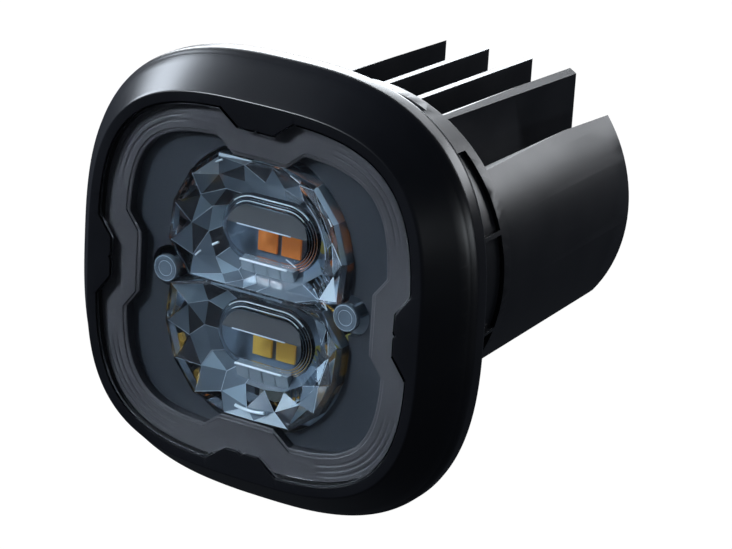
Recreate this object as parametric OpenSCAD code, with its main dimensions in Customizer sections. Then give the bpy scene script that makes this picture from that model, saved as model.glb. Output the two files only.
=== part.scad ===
// Square-faced LED fog light with a round collar and a finned heat sink.
// The front faces -Y, +Z is up and +X is to the right of someone facing the lamp.
// The origin is the centre of the rear face of the flange, where the panel sits.

/* [Optic] */
// Radius of each round bowl of the clear optic
lobe_r = 17; // [14:0.1:20.4]
// Height of each bowl's centre above or below the middle
lobe_offset = 6.9; // [6:0.1:8.4]
// Depth of the optic from front to back
optic_depth = 10.4; // [9.6:0.1:13]
// Wall left round the mouth of each bowl
bowl_wall = 1.4; // [1.1:0.1:2]
// Height of each oblong centre lens above or below the middle
bar_offset = 8.9; // [8:0.1:10.6]
// Length of each oblong centre lens
bar_len = 18.4; // [15:0.1:20]
// Height of each oblong centre lens
bar_w = 11; // [9:0.1:13.2]
// Radius of the two clear pins that hold the optic
pin_r = 2.3; // [1.9:0.1:2.8]

/* [Lens and window] */
// Gap between the top of the optic and the edge of the window
window_gap = 0.5; // [0.4:0.1:2]
// Width of the smoky band between the window and the lens edge
band_w = 5.3; // [4.4:0.1:6.4]
// How far each tab of the window outline reaches in
window_tab_reach = 2.5; // [2:0.1:3]
// Half width of a window tab at its tip
window_tab_tip = 5; // [4:0.1:6]
// Half width of a window tab at its root
window_tab_root = 8.2; // [7:0.1:9.6]
// Thickness of the clear lens
lens_t = 2; // [1.7:0.1:2.4]
// Thickness of the flange round the lens
lens_flange_t = 1.1; // [0.9:0.1:1.3]
// How far the flange of the lens stands out under the lip
lens_flange_w = 0.9; // [0.7:0.1:1.1]
// How far each bezel tab reaches in over the lens outline
tab_reach = 2.7; // [2.2:0.1:3.2]
// Half width of a bezel tab at its tip
tab_tip = 3.2; // [2.6:0.1:3.8]
// Half width of a bezel tab at its root
tab_root = 6.8; // [5.6:0.1:8]
// Thickness of the smoky inner trim
trim_t = 2; // [1.6:0.1:2.4]
// Thickness of the dark tray behind the window
tray_t = 1.4; // [1.1:0.1:1.7]

/* [Bezel] */
// Depth from the front of the lens to the panel seat
bezel_depth = 11; // [9.8:0.1:13.2]
// Width of the flat lip round the lens
lip_w = 1.8; // [1.5:0.1:2.2]
// How far the sloped face runs outward
chamfer_run = 5.8; // [5:0.1:7]
// How far the sloped face falls back
chamfer_fall = 6.4; // [5.2:0.1:7.4]
// Radius of the soft outer edge
edge_r = 1.2; // [0.9:0.1:1.5]
// Wall of the bezel round the flange
rim_wall = 2.1; // [1.7:0.1:2.5]

/* [Heat sink] */
// How far the collar's radius is less than the lens half width
collar_inset = 0.5; // [0.3:0.1:0.9]
// How much the radius of the collar shrinks to its rear rim
collar_taper = 1.3; // [0.9:0.1:1.6]
// Length of the true round pilot next to the panel seat
pilot_len = 3.4; // [3:0.1:4]
// Depth of the shallow pockets in the collar
pocket_depth = 1.3; // [0.8:0.1:1.6]
// Wall of the collar round the chamber
collar_wall = 3.8; // [3.5:0.1:4.6]
// Thickness of the flange behind the bezel
flange_t = 2.5; // [2.3:0.1:3]
// Length of the fins behind the collar
fin_len = 44.2; // [38:0.1:53]
// Distance from one fin to the next
fin_pitch = 8.75; // [8:0.05:9]
// Thickness of a fin
fin_t = 1.3; // [1.1:0.1:1.8]
// How much the fin body narrows in radius towards the rear
fin_taper = 1.5; // [0.5:0.1:2.5]
// Height of the top of the fins where they leave the collar
fin_top = 24.4; // [20.4:0.1:25.4]
// How far the top of the fins falls towards the rear
fin_fall = 1.3; // [0.6:0.1:1.8]
// Depth of the flat bottom below the middle
fin_bottom = 16.2; // [16:0.1:17]
// Height of the top edge of the side shells
shell_top = 17; // [14.2:0.1:18.5]
// Radius of the hollow core that holds the driver
core_r = 15.9; // [14.8:0.1:16]
// Length of the hollow core
core_len = 26.3; // [24:0.1:28]
// Wall of the hollow core and of the rear wall
core_wall = 3.5; // [3:0.1:4]

/* [Electronics] */
// How far the chips sit below the middle of each oblong lens
chip_drop = 2.6; // [2.2:0.1:3.1]
// Side of one square LED chip
chip = 3.5; // [2.9:0.1:4.2]
// Gap between the two chips of a bowl
chip_gap = 1; // [0.8:0.1:1.4]
// Height of an LED chip
chip_h = 0.7; // [0.6:0.1:0.8]
// Thickness of a circuit board
board_t = 1.6; // [1.3:0.1:2]
// Thickness of the thermal pad
pad_t = 0.5; // [0.4:0.1:0.6]
// Thickness of the plate that spreads the heat
spreader_t = 4; // [3.4:0.1:4.8]
// Gap between the spreader plate and the driver board
driver_gap = 3.5; // [3:0.1:4.2]
// Length of the posts behind the driver board
post_len = 7.4; // [6.8:0.1:8.8]
// Radius of the driver coil
coil_r = 6; // [5:0.1:7.2]
// Radius of each driver capacitor
cap_r = 3.15; // [2.6:0.05:3.8]
// Radius of each lead wire inside the core
wire_r = 1; // [0.8:0.1:1.2]

/* [Fasteners and gland] */
// Radius of the tapped holes for the panel screws
panel_hole_r = 1.65; // [1.4:0.05:1.65]
// Depth of the tapped holes for the panel screws
panel_hole_depth = 4; // [3.4:0.1:4.2]
// Thickness of the foam gasket between flange and panel
gasket_t = 1; // [0.8:0.1:1.5]
// Thread radius of the small screws
screw_r = 1.25; // [1:0.05:1.3]
// Head radius of the small screws
head_r = 2.2; // [1.9:0.1:2.3]
// Thread radius of the cable gland
gland_r = 6; // [5:0.1:6.4]
// Distance across the flats of the gland's hexagons
gland_flats = 15; // [14:0.1:16]
// Radius of the cable that the gland grips
cable_r = 3; // [2.5:0.1:3.4]
// Radius of the cap of the vent
vent_r = 3.2; // [2.8:0.1:3.4]

/* [Hidden] */
$fn = 72;

// Named clearances
gap = 0.25;
slip = 0.2;
thread_fit = 0.05;
tiny = 0.01;
big = 200;

// Squareness of the outlines: 2 is a circle, more is squarer
head_n = 2.75;
flange_n = 3;
lip_n = 3.2;
lens_n = 3.35;
window_n = 4.1;
// Number of points round a squarish outline
ring_n = 96;

// Seal of the lens, and the ledge that the spreader plate sits on
seal_w = 1.2;
seal_t = 1.4;
ledge = 3.8;

// Outlines, from the optic outwards
optic_reach = lobe_offset + lobe_r;
window_half = optic_reach + window_gap;
lens_half = window_half + band_w;
lens_flange_half = lens_half + lens_flange_w;
lip_half = lens_half + lip_w;
rim_half = lip_half + chamfer_run;
flange_half = rim_half - rim_wall;
trim_half = lens_flange_half - seal_w - slip;
collar_r = lens_half - collar_inset;
cavity_r = collar_r - collar_wall;
chamber_r = cavity_r - ledge;

// Places along the axis, from the lens back to the fins
lens_y = -bezel_depth;
lens_back = lens_y + lens_t;
lip_back = lens_back - lens_flange_t;
trim_back = lens_back + trim_t;
tray_back = trim_back + tray_t;
plug_front = lens_back + seal_t;
optic_front = lens_back + slip;
optic_back = optic_front + optic_depth;
board_back = optic_back + board_t;
pad_back = board_back + pad_t;
spreader_back = pad_back + spreader_t;
driver_front = spreader_back + driver_gap;
driver_back = driver_front + board_t;
rear_wall = driver_back + post_len;
// Length of the collar behind the panel seat, from what it holds
collar_len = rear_wall + core_wall;
core_end = collar_len + core_len;
core_in = core_end - core_wall;
core_cavity_r = core_r - core_wall;
fin_end = collar_len + fin_len;

// Radius of the fin body where it leaves the collar
body_r = collar_r - collar_taper - 0.3;
// The collar is this much smaller where the foam gasket goes round it
root_step = 0.4;
// Inner face of the side shells: a little under one fin pitch beyond the outer fin
shell_in = 2.5 * fin_pitch - fin_t / 2 - 0.7;
// Thickness of the flat web between core and shells
web_t = 2.4;

// Screws on the diagonals of the head
lens_diag = pow(2, 0.5 - 1 / lens_n);
bezel_screw_d = (lens_flange_half + slip) * lens_diag + screw_r + 0.45;
panel_screw_d = collar_r + panel_hole_r + 0.75;
head_h = 1.1;
bezel_screw_in = 2.6;

// Clear pins of the optic, at its waist
waist = sqrt(lobe_r * lobe_r - lobe_offset * lobe_offset);
pin_x = waist + pin_r - 0.7;
pin_boss_r = pin_r + 0.9;

// Screws of the plates inside
spreader_screw_d = cavity_r - head_r - 0.1;
driver_screw_d = chamber_r - 4.4;
post_r = 2.3;

// Bowls of the optic: mouth, waist of the cone inside, and the narrower back
mouth_r = lobe_r - bowl_wall;
floor_r = mouth_r * 0.62;
lobe_back_r = lobe_r * 0.72;
bowl_depth = optic_depth / 2;
bar_front = optic_front + optic_depth * 0.3;

// Small round marker chip beside each oblong lens
marker_r = 1.3;
marker_x = bar_len / 2 + marker_r - 0.8;

// Socket that feeds the chips, below the optic
socket_w = 6;
socket_h = 3.4;
socket_z = -(cavity_r - 3.6);
socket_front = optic_back - 0.25;

// Screws, capacitors and wires inside
spreader_screw_len = spreader_t + 2.4;
driver_screw_len = board_t + 4;
cap_x = coil_r + cap_r + 1.2;
link_z = socket_z * 0.62;
link_bend = driver_gap / 2 - wire_r;
link_start = -(chamber_r - wire_r - 0.3);

// Gland behind the core
gland_c = gland_flats / 2 / cos(30);
gland_room = gland_c + 2.2;
gland_flange = 3;
nut_len = 9;
nut_y = core_end + gland_flange + 1.2;

// Vent, between the core and the edge of the chamber
vent_z = -(fin_bottom + vent_r + 0.1);
vent_hole_r = 1.6;

// A flat outline in X and Z becomes a plate that starts at y and is t thick
module plate(y, t) {
    translate([0, y, 0]) rotate([-90, 0, 0]) linear_extrude(t) mirror([0, 1]) children();
}

// A straight rod along Y
module rod(x, z, y, len, r, r2 = -1) {
    translate([x, y, z]) rotate([-90, 0, 0]) cylinder(h = len, r1 = r, r2 = r2 < 0 ? r : r2);
}

// A ring along Y
module ring(y, len, r_out, r_in) {
    difference() {
        rod(0, 0, y, len, r_out);
        rod(0, 0, y - 1, len + 2, r_in);
    }
}

// Repeats a piece at the four corners, at distance d on the diagonals
module corners(d) {
    for (a = [45 : 90 : 315]) translate([d * cos(a), 0, d * sin(a)]) children();
}

// One coordinate of a squarish outline: keeps the sign and bends the curve
function bend(v, n) = sign(v) * pow(abs(v), 2 / n);

// Squarish closed outline of half width a
module squircle(a, n) {
    polygon([for (i = [0 : ring_n - 1]) let (t = 360 * (i + 0.5) / ring_n)
        [a * bend(cos(t), n), a * bend(sin(t), n)]]);
}

// Four tapered tabs at the middles of the sides, tip at distance a - reach
module tabs(a, reach, tip, root) {
    for (q = [0 : 90 : 270]) rotate(q) polygon([
        [-tip, a - reach], [tip, a - reach],
        [2 * root - tip, a + reach], [tip - 2 * root, a + reach]]);
}

// Squarish outline with a tapered notch in the middle of each side
module keyed(a, n, reach, tip, root) {
    difference() {
        squircle(a, n);
        tabs(a, reach, tip, root);
    }
}

module lens_outline(clear) {
    keyed(lens_half - clear, lens_n, tab_reach, tab_tip + clear, tab_root + clear);
}

module window_outline() {
    keyed(window_half, window_n, window_tab_reach, window_tab_tip, window_tab_root);
}

// Outline of the two overlapping round bowls
module lobes_outline(extra) {
    for (s = [-1, 1]) translate([0, s * lobe_offset]) circle(lobe_r + extra);
}

// Stadium outline, long along X
module stadium(len, w) {
    square([len - w, w], center = true);
    for (s = [-1, 1]) translate([s * (len - w) / 2, 0]) circle(w / 2);
}

module screw(y, len) {
    rod(0, 0, y - len, len + tiny, screw_r);
    rod(0, 0, y, head_h, head_r);
}

module hexagon(y, t) {
    translate([0, y, 0]) rotate([-90, 0, 0]) rotate(30) cylinder(h = t, r = gland_c, $fn = 6);
}

// Front frame: flat lip, wide sloped face, soft outer edge, and a cavity for lens and flange
module bezel_blank() {
    slope_y = lens_y + chamfer_fall;
    hull() {
        plate(lens_y, tiny) squircle(lip_half, lip_n);
        plate(slope_y, tiny) squircle(rim_half - edge_r / 4, head_n);
        plate(slope_y + edge_r, tiny) squircle(rim_half, head_n);
        plate(-edge_r, tiny) squircle(rim_half - 0.1, head_n);
        plate(-tiny, tiny) squircle(rim_half - edge_r / 2, head_n);
    }
}

module bezel() {
    color("#15161a") difference() {
        bezel_blank();
        plate(lens_y - 1, bezel_depth + 2) lens_outline(0);
        plate(lip_back, bezel_depth) squircle(lens_flange_half + slip, lens_n);
        plate(-flange_t, bezel_depth) squircle(flange_half + slip, flange_n);
        corners(bezel_screw_d) rod(0, 0, -flange_t - bezel_screw_in - 0.3, bezel_screw_in + 1,
            screw_r + thread_fit);
    }
}

// Clear outer lens, keyed to the four tabs of the bezel
module lens_cover() {
    color("#8fa3b0", 0.5) union() {
        plate(lens_y, lens_t) lens_outline(gap);
        plate(lip_back + 0.02, lens_flange_t - 0.02) squircle(lens_flange_half, lens_n);
    }
}

module lens_seal() {
    color("#101010") plate(lens_back, seal_t) difference() {
        squircle(lens_flange_half, lens_n);
        squircle(lens_flange_half - seal_w, lens_n);
    }
}

// Smoky band behind the edge of the lens, with the stepped window in it
module inner_trim() {
    color("#4a474a") plate(lens_back, trim_t) difference() {
        squircle(trim_half, lens_n);
        window_outline();
    }
}

// Dark floor round the optic, open for its bowls and its pins
module optic_tray() {
    color("#1c2733") plate(trim_back, tray_t) difference() {
        squircle(trim_half, lens_n);
        lobes_outline(gap);
        for (s = [-1, 1]) translate([s * pin_x, 0]) circle(pin_boss_r + gap);
    }
}

// Conical hollow of one bowl
module bowl_cut(s) {
    rod(0, s * lobe_offset, optic_front - tiny, bowl_depth, mouth_r, floor_r);
}

// Solid shape of one bowl: straight at the front, narrower towards the back
module bowl_body(s) {
    rod(0, s * lobe_offset, optic_front, bowl_depth - 1, lobe_r);
    rod(0, s * lobe_offset, optic_front + bowl_depth - 1 - tiny, bowl_depth + 1 + tiny,
        lobe_r, lobe_back_r);
}

// Clear moulding: two overlapping bowls, each with an oblong lens standing in it
module optic() {
    color("#cfe3ee", 0.5) difference() {
        union() {
            difference() {
                union() {
                    for (s = [-1, 1]) bowl_body(s);
                    for (s = [-1, 1]) rod(s * pin_x, 0, optic_front + head_h, optic_depth - head_h,
                        pin_boss_r);
                }
                for (s = [-1, 1]) bowl_cut(s);
            }
            for (s = [-1, 1]) translate([0, 0, s * bar_offset])
                plate(bar_front, bowl_depth) stadium(bar_len, bar_w);
        }
        // Room for the chips behind each oblong lens
        for (s = [-1, 1]) translate([0, optic_back, s * bar_offset - chip_drop])
            cube([2 * chip + chip_gap + 2, 2 * chip_h + 0.6, chip + 2], center = true);
        // Room for the small round marker chips
        for (s = [-1, 1]) rod(marker_x, s * bar_offset - chip_drop / 2, optic_back - 1, 2,
            marker_r + 0.5);
        for (s = [-1, 1]) {
            rod(s * pin_x, 0, optic_front - 1, optic_depth + 2, screw_r + 0.15);
            rod(s * pin_x, 0, optic_front - 1, head_h + 1, pin_r + 0.1);
        }
        // Flats at top and bottom that clear the tabs of the window
        for (s = [-1, 1]) translate([-lobe_r, optic_front - 1,
            s * (window_half - window_tab_reach - gap + lobe_r) - lobe_r])
            cube([2 * lobe_r, trim_back - optic_front + 1 + slip, 2 * lobe_r]);
    }
}

// Clear round-headed pins that fasten the optic to the board and the plate behind
module optic_pins() {
    color("#d9e8f0", 0.6) for (s = [-1, 1]) {
        rod(s * pin_x, 0, optic_front + 0.1, head_h - 0.1, pin_r);
        rod(s * pin_x, 0, optic_front + head_h - tiny, spreader_back - 1.4 - optic_front - head_h,
            screw_r);
    }
}

module led_board() {
    color("#3c4650") difference() {
        rod(0, 0, optic_back, board_t, cavity_r - gap);
        for (s = [-1, 1]) rod(s * pin_x, 0, optic_back - 1, board_t + 2, screw_r + slip);
        corners(spreader_screw_d) rod(0, 0, optic_back - 1, board_t + 2, head_r + gap);
        // Slot for the wires of the plug
        translate([-socket_w / 2 - 1, optic_back - 1, socket_z - socket_h / 2 - 0.5])
            cube([socket_w + 2, board_t + 2, socket_h + 1]);
    }
}

module chip_pair(z) {
    for (s = [-1, 1]) translate([s * (chip + chip_gap) / 2 - chip / 2, optic_back - chip_h,
        z - chip / 2]) cube([chip, chip_h, chip]);
}

module amber_leds() {
    color("#e0762a") chip_pair(bar_offset - chip_drop);
}

module yellow_leds() {
    color("#d8a83c") chip_pair(-bar_offset - chip_drop);
}

module marker_leds() {
    color("#b9a63c") for (s = [-1, 1])
        rod(marker_x, s * bar_offset - chip_drop / 2, optic_back - chip_h, chip_h, marker_r);
}

// Plug-and-socket that passes through the board and the plate, below the optic
module led_socket() {
    color("#e9e6dc") translate([-socket_w / 2, socket_front, socket_z - socket_h / 2])
        cube([socket_w, spreader_back - socket_front, socket_h]);
}

module thermal_pad() {
    color("#9aa0a6") difference() {
        rod(0, 0, board_back, pad_t, cavity_r - 1);
        for (s = [-1, 1]) rod(s * pin_x, 0, board_back - 1, pad_t + 2, screw_r + slip);
        corners(spreader_screw_d) rod(0, 0, board_back - 1, pad_t + 2, head_r + gap);
        translate([-socket_w / 2 - 1, board_back - 1, socket_z - socket_h / 2 - 0.5])
            cube([socket_w + 2, pad_t + 2, socket_h + 1]);
    }
}

// Thick plate that carries the heat of the chips into the casting
module heat_spreader() {
    color("#b8bcc2") difference() {
        rod(0, 0, pad_back, spreader_t, cavity_r - slip / 2);
        for (s = [-1, 1]) rod(s * pin_x, 0, pad_back - 1, spreader_t - 0.4, screw_r + slip / 4);
        corners(spreader_screw_d) rod(0, 0, pad_back - 1, spreader_t + 2, screw_r + slip);
        translate([-socket_w / 2 - slip, pad_back - 1, socket_z - socket_h / 2 - slip])
            cube([socket_w + 2 * slip, spreader_t + 2, socket_h + 2 * slip]);
    }
}

module spreader_screws() {
    color("#8d9096") corners(spreader_screw_d) mirror([0, 1, 0])
        screw(-pad_back, spreader_screw_len);
}

module driver_board() {
    color("#1d4a33") difference() {
        rod(0, 0, driver_front, board_t, chamber_r - 1);
        driver_spots() rod(0, 0, driver_front - 1, board_t + 2, screw_r + slip);
        rod(0, link_z, driver_front - 1, board_t + 2, 2 * wire_r + 0.4);
    }
}

module driver_spots() {
    for (a = [90, 210, 330])
        translate([driver_screw_d * cos(a), 0, driver_screw_d * sin(a)]) children();
}

module driver_screws() {
    color("#8d9096") driver_spots() mirror([0, 1, 0]) screw(-driver_front, driver_screw_len);
}

// Round coil on its core, on the rear of the driver board
module driver_coil() {
    coil_len = post_len + 2;
    color("#a45a2a") union() {
        rod(0, 0, driver_back, 1, coil_r);
        rod(0, 0, driver_back + 1 - tiny, coil_len - 2 + 2 * tiny, coil_r - 0.8);
        rod(0, 0, driver_back + coil_len - 1, 1, coil_r);
    }
}

module driver_capacitors() {
    color("#2b3442") for (s = [-1, 1]) {
        rod(s * cap_x, 0, driver_back, post_len - 1, cap_r);
        rod(s * cap_x, 0, driver_back + post_len - 1 - tiny, 0.3, cap_r - 0.5);
    }
}

// Driver chips: one controller and two power transistors, flat on the board's front
module driver_chips() {
    chip_y = driver_front - 1.2;
    color("#22242a") {
        translate([-3, chip_y, 3]) cube([6, 1.2, 5]);
        for (s = [-1, 1]) translate([s * 8 - 2, chip_y, -4]) cube([4, 1.2, 4.6]);
    }
}

// Two wires from the socket, through the driver board
module link_wires() {
    color("#7c1d1d") for (s = [-1, 1]) {
        rod(s * (wire_r + 0.1), link_start, spreader_back, link_bend, wire_r);
        translate([s * (wire_r + 0.1) - wire_r, spreader_back + link_bend - tiny, link_start - wire_r])
            cube([2 * wire_r, 2 * wire_r, link_z - link_start + 2 * wire_r]);
        rod(s * (wire_r + 0.1), link_z, spreader_back + link_bend + wire_r,
            driver_back + 1 - spreader_back - link_bend - wire_r, wire_r);
    }
}

// Two wires from the driver board along the core into the gland
module lead_wires() {
    lead_z = coil_r + wire_r + 1;
    lead_in = core_in - 4;
    color("#1c1c20") for (s = [-1, 1]) {
        rod(s * (wire_r + 0.1), lead_z, driver_back, lead_in - driver_back, wire_r);
        translate([s * (wire_r + 0.1) - wire_r, lead_in - 2 * wire_r - tiny, -wire_r])
            cube([2 * wire_r, 2 * wire_r, lead_z + wire_r]);
        rod(s * (wire_r + 0.1), 0, lead_in - wire_r, core_in - lead_in + wire_r - 1, wire_r);
    }
}

// Cable gland screwed into the rear wall of the core
module gland_body() {
    color("#1a1b1e") difference() {
        union() {
            rod(0, 0, core_in + 0.4, core_wall - 0.4 + tiny, gland_r);
            hexagon(core_end + 0.6, gland_flange - 0.6);
            rod(0, 0, core_end, 0.6 + tiny, gland_r + 0.4);
            rod(0, 0, core_end + gland_flange - tiny, nut_len - 1, gland_r - 0.9);
        }
        rod(0, 0, core_in - 1, core_len, cable_r + 0.9);
    }
}

module gland_seal() {
    color("#0d0d0d") ring(core_end, 0.6, gland_c - 1.2, gland_r + 0.5);
}

// Soft bush inside the gland, bored for the cable
module gland_bush() {
    color("#2a2a2a") ring(core_end + 1, gland_flange + nut_len - 3.4, cable_r + 0.9, cable_r);
}

module gland_nut() {
    color("#202124") difference() {
        union() {
            hexagon(nut_y, nut_len - 4);
            rod(0, 0, nut_y + nut_len - 4 - tiny, 4, gland_flats / 2 - 0.3, cable_r + 2);
        }
        rod(0, 0, nut_y - 1, nut_len - 1.2, gland_r - 0.85);
        rod(0, 0, nut_y - 1, nut_len + 3, cable_r + 0.2);
    }
}

// Small vent that lets the chamber breathe
module vent_plug() {
    color("#26272b") difference() {
        union() {
            rod(0, vent_z, collar_len, 1.8, vent_r);
            rod(0, vent_z, rear_wall - 0.6, core_wall + 0.6 + tiny, vent_hole_r);
        }
        rod(0, vent_z, rear_wall - 2, core_wall + 3, vent_hole_r - 0.7);
        rod(0, vent_z, collar_len + 0.8, 0.5, vent_hole_r + 0.4);
        for (a = [0 : 60 : 300]) translate([0, collar_len + 1, vent_z]) rotate([0, a, 0])
            translate([vent_r * 0.5, 0, -0.4]) cube([vent_r, 0.5, 0.8]);
    }
}

module vent_membrane() {
    color("#e6e6e6") rod(0, vent_z, collar_len + 0.85, 0.2, vent_hole_r + 0.3);
}

module bezel_screws() {
    color("#77797f") corners(bezel_screw_d)
        screw(-head_h - 0.15, flange_t - head_h - 0.15 + bezel_screw_in);
}

// Foam ring between the flange and the panel
module panel_gasket() {
    color("#2a2b2f") difference() {
        plate(0, gasket_t) squircle(flange_half - 0.3, head_n);
        rod(0, 0, -1, gasket_t + 2, collar_r + gap);
        corners(panel_screw_d) rod(0, 0, -1, gasket_t + 2, panel_hole_r + 0.3);
    }
}

// Shallow pockets between ribs, the same in each quarter of the collar
module pocket(a, sweep) {
    rotate([-90, 0, 0]) rotate([0, 0, -a - sweep])
        rotate_extrude(angle = sweep) translate([collar_r - pocket_depth - collar_taper / 2,
            pilot_len + 0.6]) square([10, collar_len - pilot_len - 3.1]);
}

module pockets() {
    side = 33;
    high = 29;
    rib = 1.5;
    for (m = [0, 180]) rotate([0, m, 0]) {
        pocket(-side / 2, side);
        pocket(side / 2 + rib, high);
        pocket(-side / 2 - rib - high, high);
        pocket(66, 14);
        pocket(100, 14);
        pocket(82, 16);
    }
}

// Round collar with the squarish plug and flange that fill the bezel
module collar() {
    difference() {
        union() {
            rod(0, 0, -tiny, gasket_t + 2 * tiny, collar_r - root_step);
            rod(0, 0, gasket_t, pilot_len - gasket_t, collar_r);
            rod(0, 0, pilot_len - tiny, collar_len - pilot_len + tiny, collar_r,
                collar_r - collar_taper);
            plate(plug_front, -plug_front - flange_t + tiny) squircle(lens_flange_half, lens_n);
            plate(-flange_t, flange_t) squircle(flange_half, flange_n);
        }
        pockets();
        plate(plug_front - 1, tray_back - plug_front + 1) squircle(trim_half + slip, lens_n);
        rod(0, 0, plug_front - 1, spreader_back - plug_front + 1, cavity_r);
        rod(0, 0, spreader_back - 1, rear_wall - spreader_back + 1, chamber_r);
        rod(0, 0, rear_wall - 1, core_wall + 2, core_cavity_r);
        rod(0, vent_z, rear_wall - 1, core_wall + 2, vent_hole_r + slip / 2);
        corners(panel_screw_d) rod(0, 0, -panel_hole_depth, panel_hole_depth + 1, panel_hole_r);
        corners(bezel_screw_d) {
            rod(0, 0, -flange_t - 1, flange_t + 2, screw_r + slip);
            rod(0, 0, -head_h - 0.15, flange_t, head_r + slip);
        }
        corners(spreader_screw_d) rod(0, 0, spreader_back - 1, 4, screw_r + thread_fit);
    }
    driver_spots() difference() {
        rod(0, 0, driver_back, post_len + tiny, post_r);
        rod(0, 0, driver_back - 1, driver_screw_len - board_t + 1.4, screw_r + thread_fit);
    }
}

// Flat upright fins inside the tapering round body, with a falling top and a flat bottom
module fins() {
    intersection() {
        rod(0, 0, collar_len - 0.2, fin_len + 0.2, body_r, body_r - fin_taper);
        rotate([90, 0, 90]) linear_extrude(big, center = true) polygon([
            [collar_len - 1, -fin_bottom], [collar_len - 1, fin_top],
            [fin_end, fin_top - fin_fall], [fin_end, -fin_bottom]]);
        union() {
            for (i = [-1.5 : 1 : 1.5]) translate([i * fin_pitch - fin_t / 2, collar_len - 0.2, -big / 2])
                cube([fin_t, fin_len + 1, big]);
            for (s = [-1, 1]) translate([s * (shell_in + big / 2) - big / 2, collar_len - 0.2, -fin_bottom])
                cube([big, fin_len + 1, fin_bottom + shell_top]);
            translate([-shell_in - 1, collar_len - 0.2, -web_t / 2])
                cube([2 * shell_in + 2, core_len, web_t]);
        }
    }
}

module heat_sink() {
    color("#101216") difference() {
        union() {
            collar();
            difference() {
                union() {
                    fins();
                    rod(0, 0, collar_len - 0.2, core_len + 0.2, core_r);
                }
                rod(0, 0, rear_wall, core_in - rear_wall, core_cavity_r);
                rod(0, 0, core_end, big, gland_room);
            }
        }
        rod(0, 0, core_in - 1, core_wall + 2, gland_r + slip / 4);
    }
}

heat_sink();
bezel();
lens_cover();
lens_seal();
inner_trim();
optic_tray();
optic();
optic_pins();
led_board();
amber_leds();
yellow_leds();
marker_leds();
led_socket();
thermal_pad();
heat_spreader();
spreader_screws();
driver_board();
driver_coil();
driver_capacitors();
driver_chips();
driver_screws();
link_wires();
lead_wires();
gland_body();
gland_seal();
gland_bush();
gland_nut();
vent_plug();
vent_membrane();
bezel_screws();
panel_gasket();
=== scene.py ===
import math

import bmesh
import bpy
import numpy as np
from mathutils import Matrix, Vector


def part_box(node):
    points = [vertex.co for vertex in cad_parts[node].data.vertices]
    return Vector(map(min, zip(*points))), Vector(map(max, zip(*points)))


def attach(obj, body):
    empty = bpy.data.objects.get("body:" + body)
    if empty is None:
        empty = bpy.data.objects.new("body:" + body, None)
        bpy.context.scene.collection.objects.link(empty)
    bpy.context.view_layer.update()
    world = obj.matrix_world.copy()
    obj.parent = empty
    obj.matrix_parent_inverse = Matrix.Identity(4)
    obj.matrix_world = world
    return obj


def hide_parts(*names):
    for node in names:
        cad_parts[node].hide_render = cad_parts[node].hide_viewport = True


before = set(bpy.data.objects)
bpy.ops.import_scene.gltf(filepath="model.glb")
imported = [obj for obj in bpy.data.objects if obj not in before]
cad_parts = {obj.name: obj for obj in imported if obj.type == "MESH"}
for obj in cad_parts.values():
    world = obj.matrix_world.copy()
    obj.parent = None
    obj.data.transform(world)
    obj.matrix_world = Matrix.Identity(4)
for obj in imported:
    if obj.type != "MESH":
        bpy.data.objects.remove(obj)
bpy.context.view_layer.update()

MM = 0.001
TAU = 2 * math.pi

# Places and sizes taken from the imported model
LENS_LOW, LENS_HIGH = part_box("lens_cover")
TRIM_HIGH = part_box("inner_trim")[1]
BEZEL_LOW, BEZEL_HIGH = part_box("bezel")
OPTIC_LOW, OPTIC_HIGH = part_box("optic")
PINS_LOW, PINS_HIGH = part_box("optic_pins")

LENS_Y = LENS_LOW[1]
LENS_BACK = LENS_HIGH[1]
SEAT_Y = BEZEL_HIGH[1]
RIM_HALF = BEZEL_HIGH[0]
FLANGE_OVER = 0.9 * MM
LENS_HALF = LENS_HIGH[0] - FLANGE_OVER
LIP_HALF = LENS_HALF + 1.8 * MM
GAP = 0.25 * MM
TRIM_HALF = TRIM_HIGH[0]
WINDOW_HALF = LENS_HALF - 5.3 * MM
BOWL_R = 17.0 * MM
BOWL_Z = 6.9 * MM
OPTIC_FLAT = 21.6 * MM
BAR_Z = 8.9 * MM
PIN_R = PINS_HIGH[2]
PIN_X = PINS_HIGH[0] - PIN_R

# Squareness of the outlines: 2 is a circle, more is squarer
HEAD_N = 2.75
FLANGE_N = 3.0
LIP_N = 3.2
LENS_N = 3.35
WINDOW_N = 4.1


# ---------------------------------------------------------------- mesh helpers

def new_object(name, mesh):
    """Puts a finished mesh into the scene, on the lamp's one body."""
    piece = bpy.data.objects.new(name, mesh)
    bpy.context.scene.collection.objects.link(piece)
    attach(piece, "root")
    return piece


def flatten_large_faces(piece):
    """Lets the large faces set the shading, so that a flat stays flat beside a fine edge."""
    flat = piece.modifiers.new("flat_faces", "WEIGHTED_NORMAL")
    flat.keep_sharp = True
    flat.weight = 100


def finish_mesh(mesh, sharp_degrees=30.0, recalculate=True):
    """Turns all faces outwards, shades them smooth and keeps edges sharper than the angle."""
    if recalculate:
        work = bmesh.new()
        work.from_mesh(mesh)
        bmesh.ops.remove_doubles(work, verts=work.verts, dist=1e-7)
        bmesh.ops.recalc_face_normals(work, faces=work.faces)
        work.to_mesh(mesh)
        work.free()
    mesh.shade_smooth()
    mesh.set_sharp_from_angle(angle=math.radians(sharp_degrees))
    mesh.update()
    return mesh


def mesh_from(name, points, faces, sharp_degrees=30.0):
    mesh = bpy.data.meshes.new(name)
    mesh.from_pydata(points.tolist(), [], [list(map(int, f)) for f in faces])
    return finish_mesh(mesh, sharp_degrees)


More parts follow.
